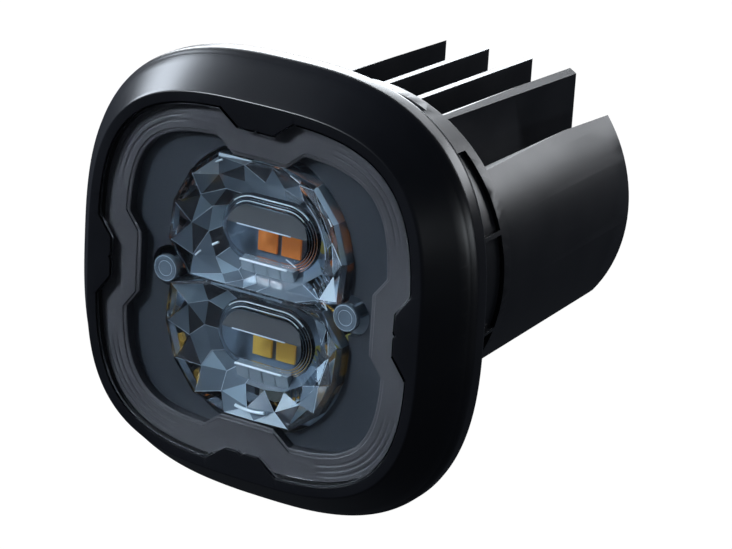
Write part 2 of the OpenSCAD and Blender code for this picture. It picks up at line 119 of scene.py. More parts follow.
def ring_faces(rings, count, closed=False):
    """Quads between each ring of points and the next; the last joins the first when closed."""
    faces = []
    last = rings if closed else rings - 1
    step = np.arange(count)
    after = (step + 1) % count
    for k in range(last):
        a = k * count
        b = ((k + 1) % rings) * count
        faces.append(np.stack([a + step, a + after, b + after, b + step], axis=1))
    return np.concatenate(faces)


def fan_faces(first, count, centre):
    step = np.arange(count)
    return np.stack([first + step, first + (step + 1) % count, np.full(count, centre)], axis=1)


def bar_faces(rows, count):
    """Faces of a bar whose long edges are rows of points: a closed skin with both ends capped."""
    faces = []
    for k in range(rows):
        a = k * count
        b = ((k + 1) % rows) * count
        for i in range(count - 1):
            faces.append([a + i, a + i + 1, b + i + 1, b + i])
    faces.append([k * count for k in range(rows)])
    faces.append([k * count + count - 1 for k in range(rows)])
    return faces


def polar_points(angles, radius, y, centre_z=0.0, centre_x=0.0):
    """Points at a radius round Y: X is radius times cosine, Z is radius times sine."""
    radius = np.broadcast_to(radius, angles.shape)
    depth = np.broadcast_to(y, angles.shape)
    return np.stack([centre_x + radius * np.cos(angles), depth,
                     centre_z + radius * np.sin(angles)], axis=1)


def closed_tube(name, angles, profile, sharp_degrees=30.0):
    """A ring whose cross section is the closed list of (radius, depth) pairs."""
    rings = [polar_points(angles, radius, y) for radius, y in profile]
    faces = ring_faces(len(rings), len(angles), closed=True)
    return mesh_from(name, np.concatenate(rings), faces, sharp_degrees)


def lathe(name, angles, profile, centre_x=0.0, centre_z=0.0, sharp_degrees=30.0):
    """A solid disc or dome: rings of (radius, depth), closed by a centre point at both ends."""
    rings = [polar_points(angles, r, y, centre_z, centre_x) for r, y in profile]
    count = len(angles)
    points = np.concatenate(rings)
    first_y = np.mean(rings[0][:, 1])
    last_y = np.mean(rings[-1][:, 1])
    ends = np.array([[centre_x, first_y, centre_z], [centre_x, last_y, centre_z]])
    faces = ring_faces(len(rings), count).tolist()
    faces += fan_faces(0, count, len(points)).tolist()
    faces += fan_faces((len(rings) - 1) * count, count, len(points) + 1).tolist()
    return mesh_from(name, np.concatenate([points, ends]), faces, sharp_degrees)


# ---------------------------------------------------------------- outlines

def squircle(angles, half, n):
    """Polar radius of a squarish outline: half over the n-th root of cos^n plus sin^n."""
    c = np.abs(np.cos(angles)) ** n
    s = np.abs(np.sin(angles)) ** n
    return half / (c + s) ** (1 / n)


def from_side(angles):
    """Angle away from the middle of the nearest side, always positive."""
    return np.abs((angles + math.pi / 4) % (math.pi / 2) - math.pi / 4)


def keyed(angles, half, n, reach, tip, root, grow=0.0):
    """Squarish outline with a tapered notch in the middle of each side.

    A ray leaves the outline where it meets the squarish curve or the notch, whichever is
    nearer. The notch has a flat tip at half minus reach and flanks that widen to the root."""
    curve = squircle(angles, half - grow, n)
    away = np.tan(from_side(angles))
    tip_at = half - reach - grow
    slope = (root - tip) / reach
    wide = tip + grow
    meet = np.where(slope > away, (tip_at * slope - wide) / np.maximum(slope - away, 1e-9), 9.0)
    notch = np.maximum(tip_at, meet) / np.cos(from_side(angles))
    return np.minimum(curve, notch)


def keyed_corners(half, reach, tip, root):
    """Angles at which a keyed outline turns, so that the grid has points there."""
    inner = math.atan2(tip, half - reach)
    outer = math.atan2(root, half)
    marks = [side * math.pi / 2 + sign * a for side in range(4) for sign in (-1, 1)
             for a in (inner, outer)]
    return np.array(marks) % TAU


def stadium(angles, half_long, half_wide):
    """Polar radius of a stadium: a straight top over round ends."""
    straight = half_long - half_wide
    c = np.abs(np.cos(angles))
    s = np.abs(np.sin(angles))
    flat = half_wide / np.maximum(s, 1e-9)
    round_end = straight * c + np.sqrt(np.maximum(half_wide ** 2 - (straight * s) ** 2, 0))
    return np.where(flat * c <= straight, flat, round_end)


LENS_KEY = (2.7 * MM, 3.2 * MM, 6.8 * MM)
WINDOW_KEY = (2.5 * MM, 5.0 * MM, 8.2 * MM)


def lens_edge(angles, grow=0.0):
    """Lens outline with a small moulded nick in the middle of each notch."""
    plain = keyed(angles, LENS_HALF, LENS_N, *LENS_KEY, grow=grow)
    across = np.tan(from_side(angles)) * (LENS_HALF - LENS_KEY[0])
    return plain + 0.35 * MM * np.clip(1 - across / (0.6 * MM), 0, 1)


def head_angles(count=480):
    even = np.arange(count) * TAU / count
    nick = [side * math.pi / 2 + sign * 0.6 * MM / LENS_HALF for side in range(4)
            for sign in (-1, 1)]
    marks = np.concatenate([keyed_corners(LENS_HALF, *LENS_KEY),
                            keyed_corners(WINDOW_HALF, *WINDOW_KEY), np.array(nick) % TAU])
    both = np.sort(np.concatenate([even, marks]))
    return both[np.concatenate([[True], np.diff(both) > 1e-4])]


# ---------------------------------------------------------------- shader helpers

def group_socket(group, name, kind, default=None, out=False):
    side = "OUTPUT" if out else "INPUT"
    made = group.interface.new_socket(name=name, in_out=side, socket_type=kind)
    if default is not None:
        made.default_value = default
    return made


def grain_group():
    """Moulded grain: fine and coarse noise mixed into a mask, a roughness and a normal."""
    group = bpy.data.node_groups.new("moulded_grain", "ShaderNodeTree")
    group_socket(group, "Scale", "NodeSocketFloat", 2500.0)
    group_socket(group, "Roughness", "NodeSocketFloat", 0.35)
    group_socket(group, "Variation", "NodeSocketFloat", 0.06)
    group_socket(group, "Depth", "NodeSocketFloat", 0.00001)
    group_socket(group, "Mask", "NodeSocketFloat", out=True)
    group_socket(group, "Roughness", "NodeSocketFloat", out=True)
    group_socket(group, "Normal", "NodeSocketVector", out=True)
    nodes, links = group.nodes, group.links
    inp = nodes.new("NodeGroupInput")
    outp = nodes.new("NodeGroupOutput")
    place = nodes.new("ShaderNodeTexCoord")
    fine = nodes.new("ShaderNodeTexNoise")
    coarse = nodes.new("ShaderNodeTexNoise")
    coarse.inputs["Scale"].default_value = 55.0
    coarse.inputs["Detail"].default_value = 4.0
    fine.inputs["Detail"].default_value = 3.0
    spread = nodes.new("ShaderNodeMapRange")
    spread.inputs["From Min"].default_value = 0.3
    spread.inputs["From Max"].default_value = 0.7
    swing = nodes.new("ShaderNodeMath")
    swing.operation = "MULTIPLY_ADD"
    centred = nodes.new("ShaderNodeMath")
    centred.operation = "SUBTRACT"
    centred.inputs[1].default_value = 0.5
    bump = nodes.new("ShaderNodeBump")
    bump.inputs["Strength"].default_value = 0.35
    links.new(place.outputs["Object"], fine.inputs["Vector"])
    links.new(place.outputs["Object"], coarse.inputs["Vector"])
    links.new(inp.outputs["Scale"], fine.inputs["Scale"])
    links.new(coarse.outputs["Fac"], spread.inputs["Value"])
    links.new(spread.outputs["Result"], outp.inputs["Mask"])
    links.new(spread.outputs["Result"], centred.inputs[0])
    links.new(centred.outputs[0], swing.inputs[0])
    links.new(inp.outputs["Variation"], swing.inputs[1])
    links.new(inp.outputs["Roughness"], swing.inputs[2])
    links.new(swing.outputs[0], outp.inputs["Roughness"])
    links.new(fine.outputs["Fac"], bump.inputs["Height"])
    links.new(inp.outputs["Depth"], bump.inputs["Distance"])
    links.new(bump.outputs["Normal"], outp.inputs["Normal"])
    return group


GRAIN = grain_group()


def bare_material(name):
    """A new material with only its Principled shader, and that shader."""
    material = bpy.data.materials.new(name)
    material.use_nodes = True
    shader = material.node_tree.nodes["Principled BSDF"]
    return material, shader


def tinted(material, mask, low, high, socket):
    """Mixes two colours by a mask into a colour socket."""
    nodes, links = material.node_tree.nodes, material.node_tree.links
    mix = nodes.new("ShaderNodeMix")
    mix.data_type = "RGBA"
    mix.inputs["A"].default_value = (*low, 1)
    mix.inputs["B"].default_value = (*high, 1)
    links.new(mask, mix.inputs["Factor"])
    links.new(mix.outputs["Result"], socket)


def grained(name, low, high, roughness, scale=2500.0, variation=0.08, depth=0.00001,
            metallic=0.0, specular=0.5, coat=0.0):
    """A moulded, cast or painted finish: two close colours, a living roughness, fine grain."""
    material, shader = bare_material(name)
    nodes, links = material.node_tree.nodes, material.node_tree.links
    grain = nodes.new("ShaderNodeGroup")
    grain.node_tree = GRAIN
    grain.inputs["Scale"].default_value = scale
    grain.inputs["Roughness"].default_value = roughness
    grain.inputs["Variation"].default_value = variation
    grain.inputs["Depth"].default_value = depth
    tinted(material, grain.outputs["Mask"], low, high, shader.inputs["Base Color"])
    links.new(grain.outputs["Roughness"], shader.inputs["Roughness"])
    links.new(grain.outputs["Normal"], shader.inputs["Normal"])
    shader.inputs["Metallic"].default_value = metallic
    shader.inputs["Specular IOR Level"].default_value = specular
    shader.inputs["Coat Weight"].default_value = coat
    shader.inputs["Coat Roughness"].default_value = 0.12
    return material


def clear_plastic(name, colour, ior, roughness):
    """Clear moulded plastic that lets the lamps reach what is behind it."""
    material, shader = bare_material(name)
    nodes, links = material.node_tree.nodes, material.node_tree.links
    shader.inputs["Base Color"].default_value = (*colour, 1)
    shader.inputs["Roughness"].default_value = roughness
    shader.inputs["IOR"].default_value = ior
    shader.inputs["Transmission Weight"].default_value = 1.0
    path = nodes.new("ShaderNodeLightPath")
    through = nodes.new("ShaderNodeBsdfTransparent")
    through.inputs["Color"].default_value = (*colour, 1)
    mix = nodes.new("ShaderNodeMixShader")
    links.new(path.outputs["Is Shadow Ray"], mix.inputs["Fac"])
    links.new(shader.outputs["BSDF"], mix.inputs[1])
    links.new(through.outputs["BSDF"], mix.inputs[2])
    links.new(mix.outputs["Shader"], nodes["Material Output"].inputs["Surface"])
    return material


def painted_facet_light(name, colour, through):
    """Partly clear polished plastic in a set colour: painted reflection, glint or shade on a facet of
    the clear optic, in place of the room the facet throws back.
    """
    material = grained(name, tuple(0.8 * c for c in colour), colour, 0.08, scale=700.0,
                       variation=0.05, depth=0.000002, coat=1.0)
    shader = material.node_tree.nodes["Principled BSDF"]
    shader.inputs["Transmission Weight"].default_value = through
    shader.inputs["Coat Roughness"].default_value = 0.03
    return material


def phosphor(name, low, high, painted_emission):
    """Chip coating: granular colour with a faint painted emission, standing in for light that reaches
    the unlit chips under the clear optic.
    """
    material = grained(name, low, high, 0.45, scale=6000.0, depth=0.00002)
    shader = material.node_tree.nodes["Principled BSDF"]
    shader.inputs["Emission Color"].default_value = (*high, 1)
    shader.inputs["Emission Strength"].default_value = painted_emission
    return material


def give(obj, material):
    obj.data.materials.clear()
    obj.data.materials.append(material)


# ---------------------------------------------------------------- finishes, with painted light and shade on the clear optic

cast_black = grained("cast_black", (0.008, 0.009, 0.012), (0.014, 0.015, 0.019), 0.36,
                     scale=1800.0, variation=0.1, depth=0.000012)
bezel_black = grained("bezel_black", (0.006, 0.0065, 0.009), (0.010, 0.011, 0.015), 0.3,
                      scale=3200.0, variation=0.06, depth=0.000004)
smoky = grained("smoky_trim", (0.064, 0.061, 0.065), (0.076, 0.073, 0.077), 0.5,
                scale=2200.0, depth=0.000006, specular=0.3)
# Darker copy of the smoky trim for the window's side walls: painted shade in the recess.
window_wall_painted_shade = grained("smoky_window_painted_shade", (0.012, 0.014, 0.018), (0.02, 0.022, 0.028), 0.5,
                    scale=2200.0, specular=0.3)
tray_blue = grained("tray_blue", (0.027, 0.032, 0.04), (0.036, 0.042, 0.051), 0.42,
                    scale=1500.0, depth=0.000008)
seal_black = grained("seal_rubber", (0.008, 0.008, 0.008), (0.016, 0.016, 0.016), 0.7,
                     depth=0.00002)
foam_black = grained("gasket_foam", (0.012, 0.012, 0.014), (0.03, 0.03, 0.034), 0.85,
                     scale=1400.0, depth=0.00009)
nylon_black = grained("gland_black", (0.01, 0.01, 0.012), (0.02, 0.02, 0.023), 0.42,
                      depth=0.00001)
bush_black = grained("bush_rubber", (0.015, 0.015, 0.015), (0.03, 0.03, 0.03), 0.75,
                     depth=0.00002)
board_pale = grained("board_pale", (0.13, 0.155, 0.185), (0.17, 0.2, 0.235), 0.4, scale=900.0,
                     coat=0.2)
board_green = grained("board_green", (0.012, 0.06, 0.03), (0.02, 0.1, 0.05), 0.35,
                      scale=900.0, coat=0.3)
socket_white = grained("socket_white", (0.6, 0.58, 0.5), (0.72, 0.7, 0.62), 0.5)
pad_grey = grained("pad_grey", (0.3, 0.32, 0.34), (0.4, 0.42, 0.45), 0.8, depth=0.00004)
plate_metal = grained("plate_aluminium", (0.5, 0.51, 0.53), (0.66, 0.67, 0.7), 0.35,
                      scale=1600.0, metallic=1.0)
screw_metal = grained("screw_steel", (0.28, 0.28, 0.3), (0.42, 0.43, 0.45), 0.3, metallic=1.0)
copper = grained("coil_copper", (0.32, 0.1, 0.03), (0.48, 0.17, 0.06), 0.3, metallic=0.6,
                 coat=0.4)
sleeve_blue = grained("capacitor_sleeve", (0.02, 0.035, 0.07), (0.04, 0.06, 0.11), 0.3)
chip_black = grained("chip_black", (0.015, 0.015, 0.018), (0.03, 0.03, 0.034), 0.55)
wire_red = grained("wire_red", (0.22, 0.012, 0.012), (0.32, 0.02, 0.02), 0.4)
wire_black = grained("wire_black", (0.012, 0.012, 0.014), (0.025, 0.025, 0.028), 0.4)
membrane = grained("membrane_white", (0.6, 0.6, 0.6), (0.8, 0.8, 0.8), 0.8, depth=0.00005)
# The chips are not lit: their emission is painted light.
amber = phosphor("amber_phosphor", (0.5, 0.12, 0.012), (0.75, 0.22, 0.03), 0.3)
yellow = phosphor("yellow_phosphor", (0.42, 0.22, 0.02), (0.62, 0.36, 0.05), 0.25)
olive = phosphor("olive_phosphor", (0.22, 0.2, 0.03), (0.34, 0.31, 0.05), 0.15)
cover_clear = clear_plastic("clear_lens", (0.86, 0.89, 0.92), 1.45, 0.02)
optic_clear = clear_plastic("clear_optic", (0.93, 0.97, 1.0), 1.49, 0.0)
# Opaque pale blue-grey for the clear blocks: painted light seen through and off the clear plastic.
optic_block_light_paint = grained("clear_optic_block_light_painted", (0.24, 0.29, 0.33), (0.34, 0.4, 0.45), 0.22,
                      scale=900.0, coat=0.6)
# Partly clear colours for the bowl facets: painted reflections, painted shade and painted glints.
optic_painted_reflection = painted_facet_light("clear_optic_painted_reflection", (0.23, 0.29, 0.35), 0.4)
optic_painted_shade = painted_facet_light("clear_optic_painted_shade", (0.075, 0.08, 0.092), 0.4)
optic_painted_sky_reflection = painted_facet_light("clear_optic_painted_sky_reflection", (0.45, 0.58, 0.68), 0.3)
optic_painted_glint = painted_facet_light("clear_optic_painted_glint", (0.62, 0.72, 0.78), 0.2)
lit_edge = grained("clear_optic_lit_edge", (0.7, 0.8, 0.86), (0.86, 0.93, 0.97), 0.2, scale=900.0,
                   coat=0.5)
# Dark colour for the sloped top of each oblong lens: painted shade.
optic_slope_painted_shade = grained("clear_optic_slope_painted_shade", (0.05, 0.054, 0.058), (0.08, 0.084, 0.09), 0.55,
                     scale=900.0, specular=0.15)
# Pale colour for the thin rods along the optic's edges: painted highlight lines.
painted_highlight_rod = grained("clear_optic_painted_highlight_rod", (0.42, 0.5, 0.58), (0.6, 0.68, 0.76), 0.2, scale=900.0,
                    coat=0.5)


# ---------------------------------------------------------------- head pieces

def make_bezel():
    """Front frame: flat lip, sloped face, round outer edge, side, and the pocket behind."""
    t = head_angles()
    key = lens_edge(t)
    lip = squircle(t, LIP_HALF, LIP_N)
    rim = squircle(t, RIM_HALF, HEAD_N)
    fall = 6.4 * MM
    soft = 1.3 * MM
    slope = (rim - lip - 0.25 * soft)
    arc = np.linspace(0, 1, 7)
    profile = [(key, LENS_BACK - 1.1 * MM), (key, LENS_Y + 0.16 * MM),
               (key + 0.05 * MM, LENS_Y + 0.04 * MM), (key + 0.16 * MM, LENS_Y),
               (lip - 0.22 * MM, LENS_Y), (lip - 0.06 * MM, LENS_Y + 0.03 * MM),
               (lip + 0.1 * MM, LENS_Y + 0.15 * MM)]
    for s in np.linspace(0.08, 0.88, 6):
        profile.append((lip + slope * s, LENS_Y + fall * s + 0.04 * MM))
    for a in arc:
        swing = a * math.pi / 2.3
        profile.append((rim - soft * 0.75 * (1 - math.sin(swing + 0.2)),
                        LENS_Y + fall - soft * 0.2 + soft * 1.3 * a))
    rear = SEAT_Y
    profile += [(rim, rear - 1.3 * MM), (rim - 0.12 * MM, rear - 0.7 * MM),
                (rim - 0.4 * MM, rear - 0.2 * MM), (rim - 0.7 * MM, rear)]
    flange = squircle(t, RIM_HALF - 1.9 * MM, FLANGE_N)
    pocket = squircle(t, LENS_HALF + FLANGE_OVER + 0.2 * MM, LENS_N)
    profile += [(flange, rear), (flange, rear - 2.5 * MM), (pocket, rear - 2.5 * MM),
                (pocket, LENS_BACK - 1.1 * MM)]
    piece = new_object("bezel_frame", closed_tube("bezel_frame", t, profile, 35.0))
    give(piece, bezel_black)
    flatten_large_faces(piece)
    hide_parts("bezel")


def make_lens():
    """Clear cover: flat front with a fine round edge, and the flange under the lip."""
    t = head_angles()
    edge = lens_edge(t, GAP)
    flange = squircle(t, LENS_HALF + FLANGE_OVER, LENS_N)
    step = LENS_BACK - 1.08 * MM
    profile = [(edge * 0.5, LENS_Y), (edge - 0.3 * MM, LENS_Y), (edge - 0.1 * MM, LENS_Y + 0.05 * MM),
               (edge, LENS_Y + 0.2 * MM), (edge, step), (flange, step), (flange, LENS_BACK),
               (edge * 0.5, LENS_BACK)]
    piece = new_object("lens_plate", lathe("lens_plate", t, profile, sharp_degrees=8.0))
    give(piece, cover_clear)
    flatten_large_faces(piece)
    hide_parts("lens_cover")


def make_trim():
    """Smoky band behind the lens edge, with fine ridges at its corners and a stepped window."""
    t = head_angles()
    outer = squircle(t, TRIM_HALF, LENS_N)
    window = keyed(t, WINDOW_HALF, WINDOW_N, *WINDOW_KEY)
    corner = np.clip((from_side(t) - 0.42) / 0.16, 0, 1)
    corner = corner * corner * (3 - 2 * corner)
    top, back = LENS_BACK + 0.04 * MM, TRIM_HIGH[1]
    profile = [(outer, back), (outer, top)]
    width = outer - window
    ridges = ((0.16, 0.24), (0.36, 0.44), (0.56, 0.64))
    for low, high in ridges:
        mid = (low + high) / 2
        profile += [(outer - width * (low - 0.03), top), (outer - width * low, top + 0.1 * MM * corner),
                    (outer - width * mid, top + 0.13 * MM * corner),
                    (outer - width * high, top + 0.02 * MM)]
    profile += [(window + 0.75 * MM, top), (window + 0.6 * MM, top + 0.18 * MM),
                (window + 0.15 * MM, top + 0.22 * MM), (window, top + 0.34 * MM), (window, back)]
    mesh = closed_tube("trim_band", t, profile, 12.0)
    piece = new_object("trim_band", mesh)
    give(piece, smoky)
    flatten_large_faces(piece)
    # The window's side walls take the darker copy: painted shade.
    mesh.materials.append(window_wall_painted_shade)
    for face in mesh.polygons:
        if abs(face.normal[1]) < 0.5 and math.hypot(face.center[0], face.center[2]) < TRIM_HALF:
            face.material_index = 1
    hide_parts("inner_trim")


# ---------------------------------------------------------------- optic

FRONT = OPTIC_LOW[1]
BACK = OPTIC_HIGH[1]
FLOOR = FRONT + 4.9 * MM
BAR_TOP = FRONT + 3.0 * MM
BAR_LONG = 9.2 * MM
BAR_WIDE = 5.8 * MM
INNER_LONG = 7.7 * MM
INNER_WIDE = 3.9 * MM
FACETS = 16
HALF_FACET = 180 / FACETS
# Clear, then the painted light of the facets: painted reflection, painted shade, painted glint and
# painted reflection of the sky.
FACET_PAINT = (optic_clear, optic_painted_reflection, optic_painted_shade, optic_painted_glint, optic_painted_sky_reflection)
CLEAR, REFLECTION_PAINT, SHADING_PAINT, HIGHLIGHT_PAINT, BLUE_REFLECTION_PAINT = range(len(FACET_PAINT))


def facet_angles(half_step):
    """Directions of the corners of a facet ring, in step with the others or half a step on."""
    return (np.arange(FACETS) + 0.25 + (0.5 if half_step else 0.0)) * TAU / FACETS


def offset_ring(radius, y, half_step, side, cut):
    """Corners of one facet ring of a bowl, pulled in at the middle cut and the outer flat."""
    turn = facet_angles(half_step)
    inward = np.maximum(-side * np.sin(turn), 1e-6)
    outward = np.maximum(side * np.sin(turn), 1e-6)
    radius = np.minimum(radius, np.minimum((BOWL_Z - cut) / inward,
                                           (OPTIC_FLAT - BOWL_Z - 0.3 * cut) / outward))
    return polar_points(turn, radius, y, side * BOWL_Z)


def foot_ring(grow, y, half_step, side):
    """Corners of a facet ring that follows the outline of the oblong lens."""
    turn = facet_angles(half_step)
    return polar_points(turn, stadium(turn, BAR_LONG + grow, BAR_WIDE + grow), y, side * BAR_Z)


def facet_faces(a, b, shifted):
    """Quads between rings that line up, or two triangles a step where they are half a step off.

    shifted is 0 for rings in line, 1 if the second ring is ahead, and -1 if it is behind."""
    i = np.arange(FACETS)
    j = (i + 1) % FACETS
    if shifted == 0:
        return [[a + p, a + q, b + q, b + p] for p, q in zip(i, j)]
    if shifted == 1:
        return [f for p, q in zip(i, j) for f in ([a + p, a + q, b + p], [a + q, b + q, b + p])]
    return [f for p, q in zip(i, j) for f in ([a + p, a + q, b + q], [a + p, b + q, b + p])]


def painted_light_of_facet(degrees, reach, side):
    """Painted light of a facet, as a place in FACET_PAINT: reflection, highlight or shading chosen from
    its direction and how far out it lies.
    """
    step = int(degrees / HALF_FACET)
    if reach > 0.82:
        if (102 < degrees < 138 and side > 0) or (250 < degrees < 290 and side < 0):
            return HIGHLIGHT_PAINT if step % 2 else REFLECTION_PAINT
        return (REFLECTION_PAINT, CLEAR, SHADING_PAINT, CLEAR)[step % 4]
    if 150 < degrees <= 192:
        return (REFLECTION_PAINT, SHADING_PAINT, BLUE_REFLECTION_PAINT)[step % 3]
    if 192 < degrees < 262:
        return (REFLECTION_PAINT, BLUE_REFLECTION_PAINT, REFLECTION_PAINT)[step % 3]
    if 262 <= degrees < 345:
        return (REFLECTION_PAINT, CLEAR, HIGHLIGHT_PAINT, CLEAR)[step % 4] if reach > 0.6 else REFLECTION_PAINT
    if 60 < degrees <= 150:
        return (SHADING_PAINT, REFLECTION_PAINT)[step % 2]
    return (CLEAR, REFLECTION_PAINT, CLEAR, SHADING_PAINT)[step % 4]


def paint_light_on_facets(mesh, side):
    """Paints light onto the facets of a bowl: painted reflections, highlights and shading, the mouth by
    direction, the right wall in turn.
    """
    front_limit = FRONT + 4.8 * MM
    for face in mesh.polygons:
        x, y, z = face.center
        z -= side * BOWL_Z
        reach = math.hypot(x, z) / BOWL_R
        degrees = math.degrees(math.atan2(z, x))
        if y < front_limit and face.normal[1] < -0.15 and reach < 0.93:
            face.material_index = painted_light_of_facet(degrees % 360, reach, side)
        elif reach > 0.86 and x > 0:
            face.material_index = (SHADING_PAINT, REFLECTION_PAINT, SHADING_PAINT, BLUE_REFLECTION_PAINT)[int(degrees / HALF_FACET) % 4]


def make_bowl(side, name):
    """One clear bowl, cut like glass: rings of facets run down the mouth to the foot of the oblong
    lens, and a plainer faceted wall closes the back. Fine rods in a pale painted highlight follow the
    facet edges, and the facets carry painted reflections, highlights and shading."""
    deep = BACK - FRONT
    mouth = offset_ring(BOWL_R * 0.95, FRONT + 0.02 * MM, 0, side, 0.4 * MM)
    middle = offset_ring(BOWL_R * 0.8, FRONT + 1.9 * MM, 1, side, 1.0 * MM)
    lower = 0.45 * offset_ring(BOWL_R * 0.72, FRONT, 0, side, 1.2 * MM) + \
        0.55 * foot_ring(1.2 * MM, FRONT, 0, side)
    lower[:, 1] = FRONT + 3.4 * MM
    foot = foot_ring(0.05 * MM, FLOOR, 0, side)
    back_plan = [(BOWL_R - 0.05 * MM, FRONT + 0.4 * MM, 0, 0.05 * MM),
                 (BOWL_R - 0.05 * MM, FRONT + deep * 0.25, 0, 0.05 * MM),
                 (BOWL_R * 0.95, FRONT + deep * 0.5, 1, 0.1 * MM),
                 (BOWL_R * 0.84, FRONT + deep * 0.78, 0, 0.3 * MM),
                 (BOWL_R * 0.7, BACK - 0.1 * MM, 1, 0.6 * MM)]
    rings = [foot, lower, middle, mouth]
    rings += [offset_ring(radius, y, half_step, side, cut) for radius, y, half_step, cut in back_plan]
    phase = [0, 0, 1, 0] + [plan[2] for plan in back_plan]
    faces = []
    for k in range(len(rings) - 1):
        faces += facet_faces(k * FACETS, (k + 1) * FACETS, phase[k + 1] - phase[k])
    points = np.concatenate(rings)
    ends = np.array([[0, FLOOR, side * BAR_Z], [0, BACK - 0.1 * MM, side * (BOWL_Z + 1.0 * MM)]])
    faces += fan_faces(0, FACETS, len(points)).tolist()
    faces += fan_faces((len(rings) - 1) * FACETS, FACETS, len(points) + 1).tolist()
    mesh = mesh_from(name, np.concatenate([points, ends]), faces, 3.0)
    for finish in FACET_PAINT:
        mesh.materials.append(finish)
    paint_light_on_facets(mesh, side)
    piece = new_object(name, mesh)
    broken = piece.modifiers.new("broken_edges", "BEVEL")
    broken.width = 0.07 * MM
    broken.segments = 1
    broken.limit_method = "ANGLE"
    broken.angle_limit = math.radians(8)
    lift = np.array([0, -0.03 * MM, 0])
    rib = 0.05 * MM
    for k in range(FACETS):
        on_left = 5 < k < 12
        if k % 2 == 0 or on_left:
            wire(name + "_rib", [mouth[k] + lift, middle[k] + lift, lower[k] + lift], rib)
        if on_left:
            wire(name + "_rib", [lower[k] + lift, foot[k] + lift], rib)
    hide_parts("optic")


def make_bar(side, name):
    """Oblong lens on the floor of a bowl: four round ridges up to a flat top whose upper part falls
    back, with painted shade on the part that falls back and a fine lit edge between, a rod in a painted
    highlight."""
    t = np.arange(192) * TAU / 192
    fold = 0.75 * MM
    lean = 0.3
    start = FLOOR - 0.05 * MM
    rings = [polar_points(t, stadium(t, BAR_LONG, BAR_WIDE), start),
             polar_points(t, stadium(t, BAR_LONG, BAR_WIDE), start - 0.4 * MM)]
    width = BAR_WIDE - INNER_WIDE
    for d in np.linspace(0.05, 0.97, 30):
        wave = 0.16 * MM * math.cos(TAU * d * 4)
        y = start - 0.6 * MM - 0.75 * MM * d + wave
        rings.append(polar_points(t, stadium(t, BAR_LONG - (BAR_LONG - INNER_LONG) * d,
                                             BAR_WIDE - width * d), y))
    inner = polar_points(t, stadium(t, INNER_LONG, INNER_WIDE), BAR_TOP)
    inner[:, 1] += lean * np.maximum(inner[:, 2] - fold, 0)
    rings.append(inner)
    count = len(t)
    points = np.concatenate(rings)
    faces = ring_faces(len(rings), count).tolist()
    first = (len(rings) - 1) * count
    upper = [first + k for k in range(count) if inner[k, 2] >= fold]
    low = [first + k for k in range(count) if inner[k, 2] < fold]
    split = next(k for k in range(1, len(low)) if low[k] - low[k - 1] > 1)
    low = low[split:] + low[:split]
    faces.append(upper)
    faces.append(upper[-1:] + low + upper[:1])
    centre = np.array([[0, start, 0.0]])
    faces += fan_faces(0, count, len(points)).tolist()
    points = np.concatenate([points, centre]) + np.array([0, 0, side * BAR_Z])
    mesh = bpy.data.meshes.new(name)
    mesh.from_pydata(points.tolist(), [], [list(map(int, f)) for f in faces])
    # The face that falls back takes a dark colour: painted shade on clear plastic.
    painted_shade_face = len(faces) - count - 2
    mesh.materials.append(optic_clear)
    mesh.materials.append(optic_slope_painted_shade)
    mesh.polygons[painted_shade_face].material_index = 1
    finish_mesh(mesh, 40.0)
    new_object(name, mesh)
    for grow, weight in ((-0.4, 0.11), (-1.15, 0.08)):
        long, wide = BAR_LONG + grow * MM, BAR_WIDE + grow * MM
        turn = np.radians(np.linspace(28, 150, 60))
        ridge = polar_points(turn, stadium(turn, long, wide), start - 0.75 * MM + 0.35 * grow * MM,
                             side * BAR_Z)
        wire(name + "_ridge", ridge, weight * MM, lit_edge)
    wire(name + "_edge", [(-5.6 * MM, BAR_TOP - 0.02 * MM, side * BAR_Z + fold),
                          (4.6 * MM, BAR_TOP - 0.02 * MM, side * BAR_Z + fold)], 0.13 * MM)


def wire(name, path, radius, material=None):
    """A thin six-sided rod along a path, closed at both ends: pale by default, a painted highlight line
    along an edge or rib of the optic.
    """
    path = np.array(path)
    ahead = np.gradient(path, axis=0)
    ahead /= np.linalg.norm(ahead, axis=1)[:, None]
    side = np.cross(ahead, (0.0, 1.0, 0.0))
    flat = np.linalg.norm(side, axis=1)[:, None]
    side = np.where(flat > 1e-6, side / np.maximum(flat, 1e-9), (1.0, 0.0, 0.0))
    over = np.cross(side, ahead)
    rings = []
    for k in range(6):
        a = TAU * k / 6
        rings.append(path + radius * (side * math.cos(a) + over * math.sin(a)))
    mesh = mesh_from(name, np.concatenate(rings), bar_faces(6, len(path)), 80.0)
    give(new_object(name, mesh), material or painted_highlight_rod)


def arc_path(centre_z, radius, low, high, y, centre_x=0.0, count=40):
    """Points along an arc round a centre, from one angle in degrees to another."""
    a = np.radians(np.linspace(low, high, count))
    return np.stack([centre_x + radius * np.cos(a), np.full(count, y),
                     centre_z + radius * np.sin(a)], axis=1)


